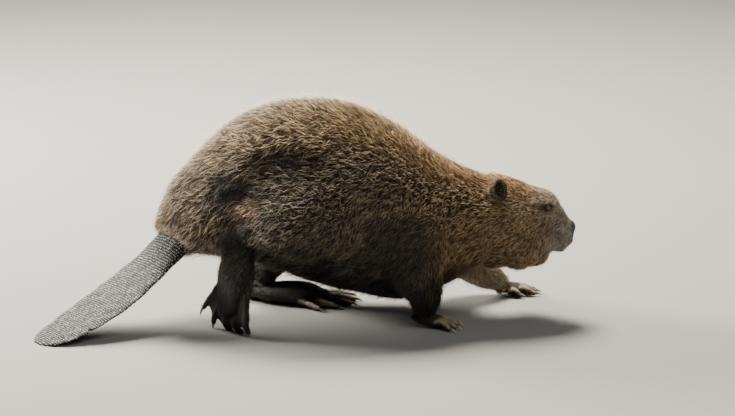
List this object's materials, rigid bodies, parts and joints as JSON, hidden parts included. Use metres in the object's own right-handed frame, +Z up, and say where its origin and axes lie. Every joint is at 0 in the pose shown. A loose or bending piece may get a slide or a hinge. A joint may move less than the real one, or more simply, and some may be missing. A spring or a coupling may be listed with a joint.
{
  "type": "beaver",
  "caption": "Life-size beaver in mid-stride on a level floor, with a full brown coat, webbed hind feet, clawed hands and a flat scaly tail that rests on the floor.",
  "frame": {"origin": "on the floor, below the middle of the whole animal's bounding box", "axes": "+X towards the nose, +Y to the animal's left, +Z up"},
  "size_m": [0.959, 0.3756, 0.3988],
  "materials": {
    "coat": "long glossy guard hair over dense underfur",
    "coat_head": "short reddish-brown fur",
    "paw_skin": "fine granular bare skin, satin",
    "claw": "horn, semi-gloss",
    "tail_scales": "small horny scales, satin",
    "nose_skin": "moist pebbled skin",
    "eye": "wet, glossy"
  },
  "bodies": {
    "root": {"chest": "coat", "ear_left": "coat_head", "ear_right": "coat_head", "eye_left": "eye", "eye_right": "eye", "foot_left": "paw_skin", "foot_left_claw_1": "claw", "foot_left_claw_2": "claw", "foot_left_claw_3": "claw", "foot_left_claw_4": "claw", "foot_left_claw_5": "claw", "foot_right": "paw_skin", "foot_right_claw_1": "claw", "foot_right_claw_2": "claw", "foot_right_claw_3": "claw", "foot_right_claw_4": "claw", "foot_right_claw_5": "claw", "foreleg_left": "coat", "foreleg_right": "coat", "hand_left": "paw_skin", "hand_left_claw_1": "claw", "hand_left_claw_2": "claw", "hand_left_claw_3": "claw", "hand_left_claw_4": "claw", "hand_left_claw_5": "claw", "hand_right": "paw_skin", "hand_right_claw_1": "claw", "hand_right_claw_2": "claw", "hand_right_claw_3": "claw", "hand_right_claw_4": "claw", "hand_right_claw_5": "claw", "head": "coat_head", "hock_right": "coat", "lower_jaw": "coat_head", "neck": "coat", "nose": "nose_skin", "shank_left": "coat", "tail_collar": "coat", "tail_paddle": "tail_scales", "thigh_left": "coat", "thigh_right": "coat", "trunk": "coat"}
  },
  "joints": []
}
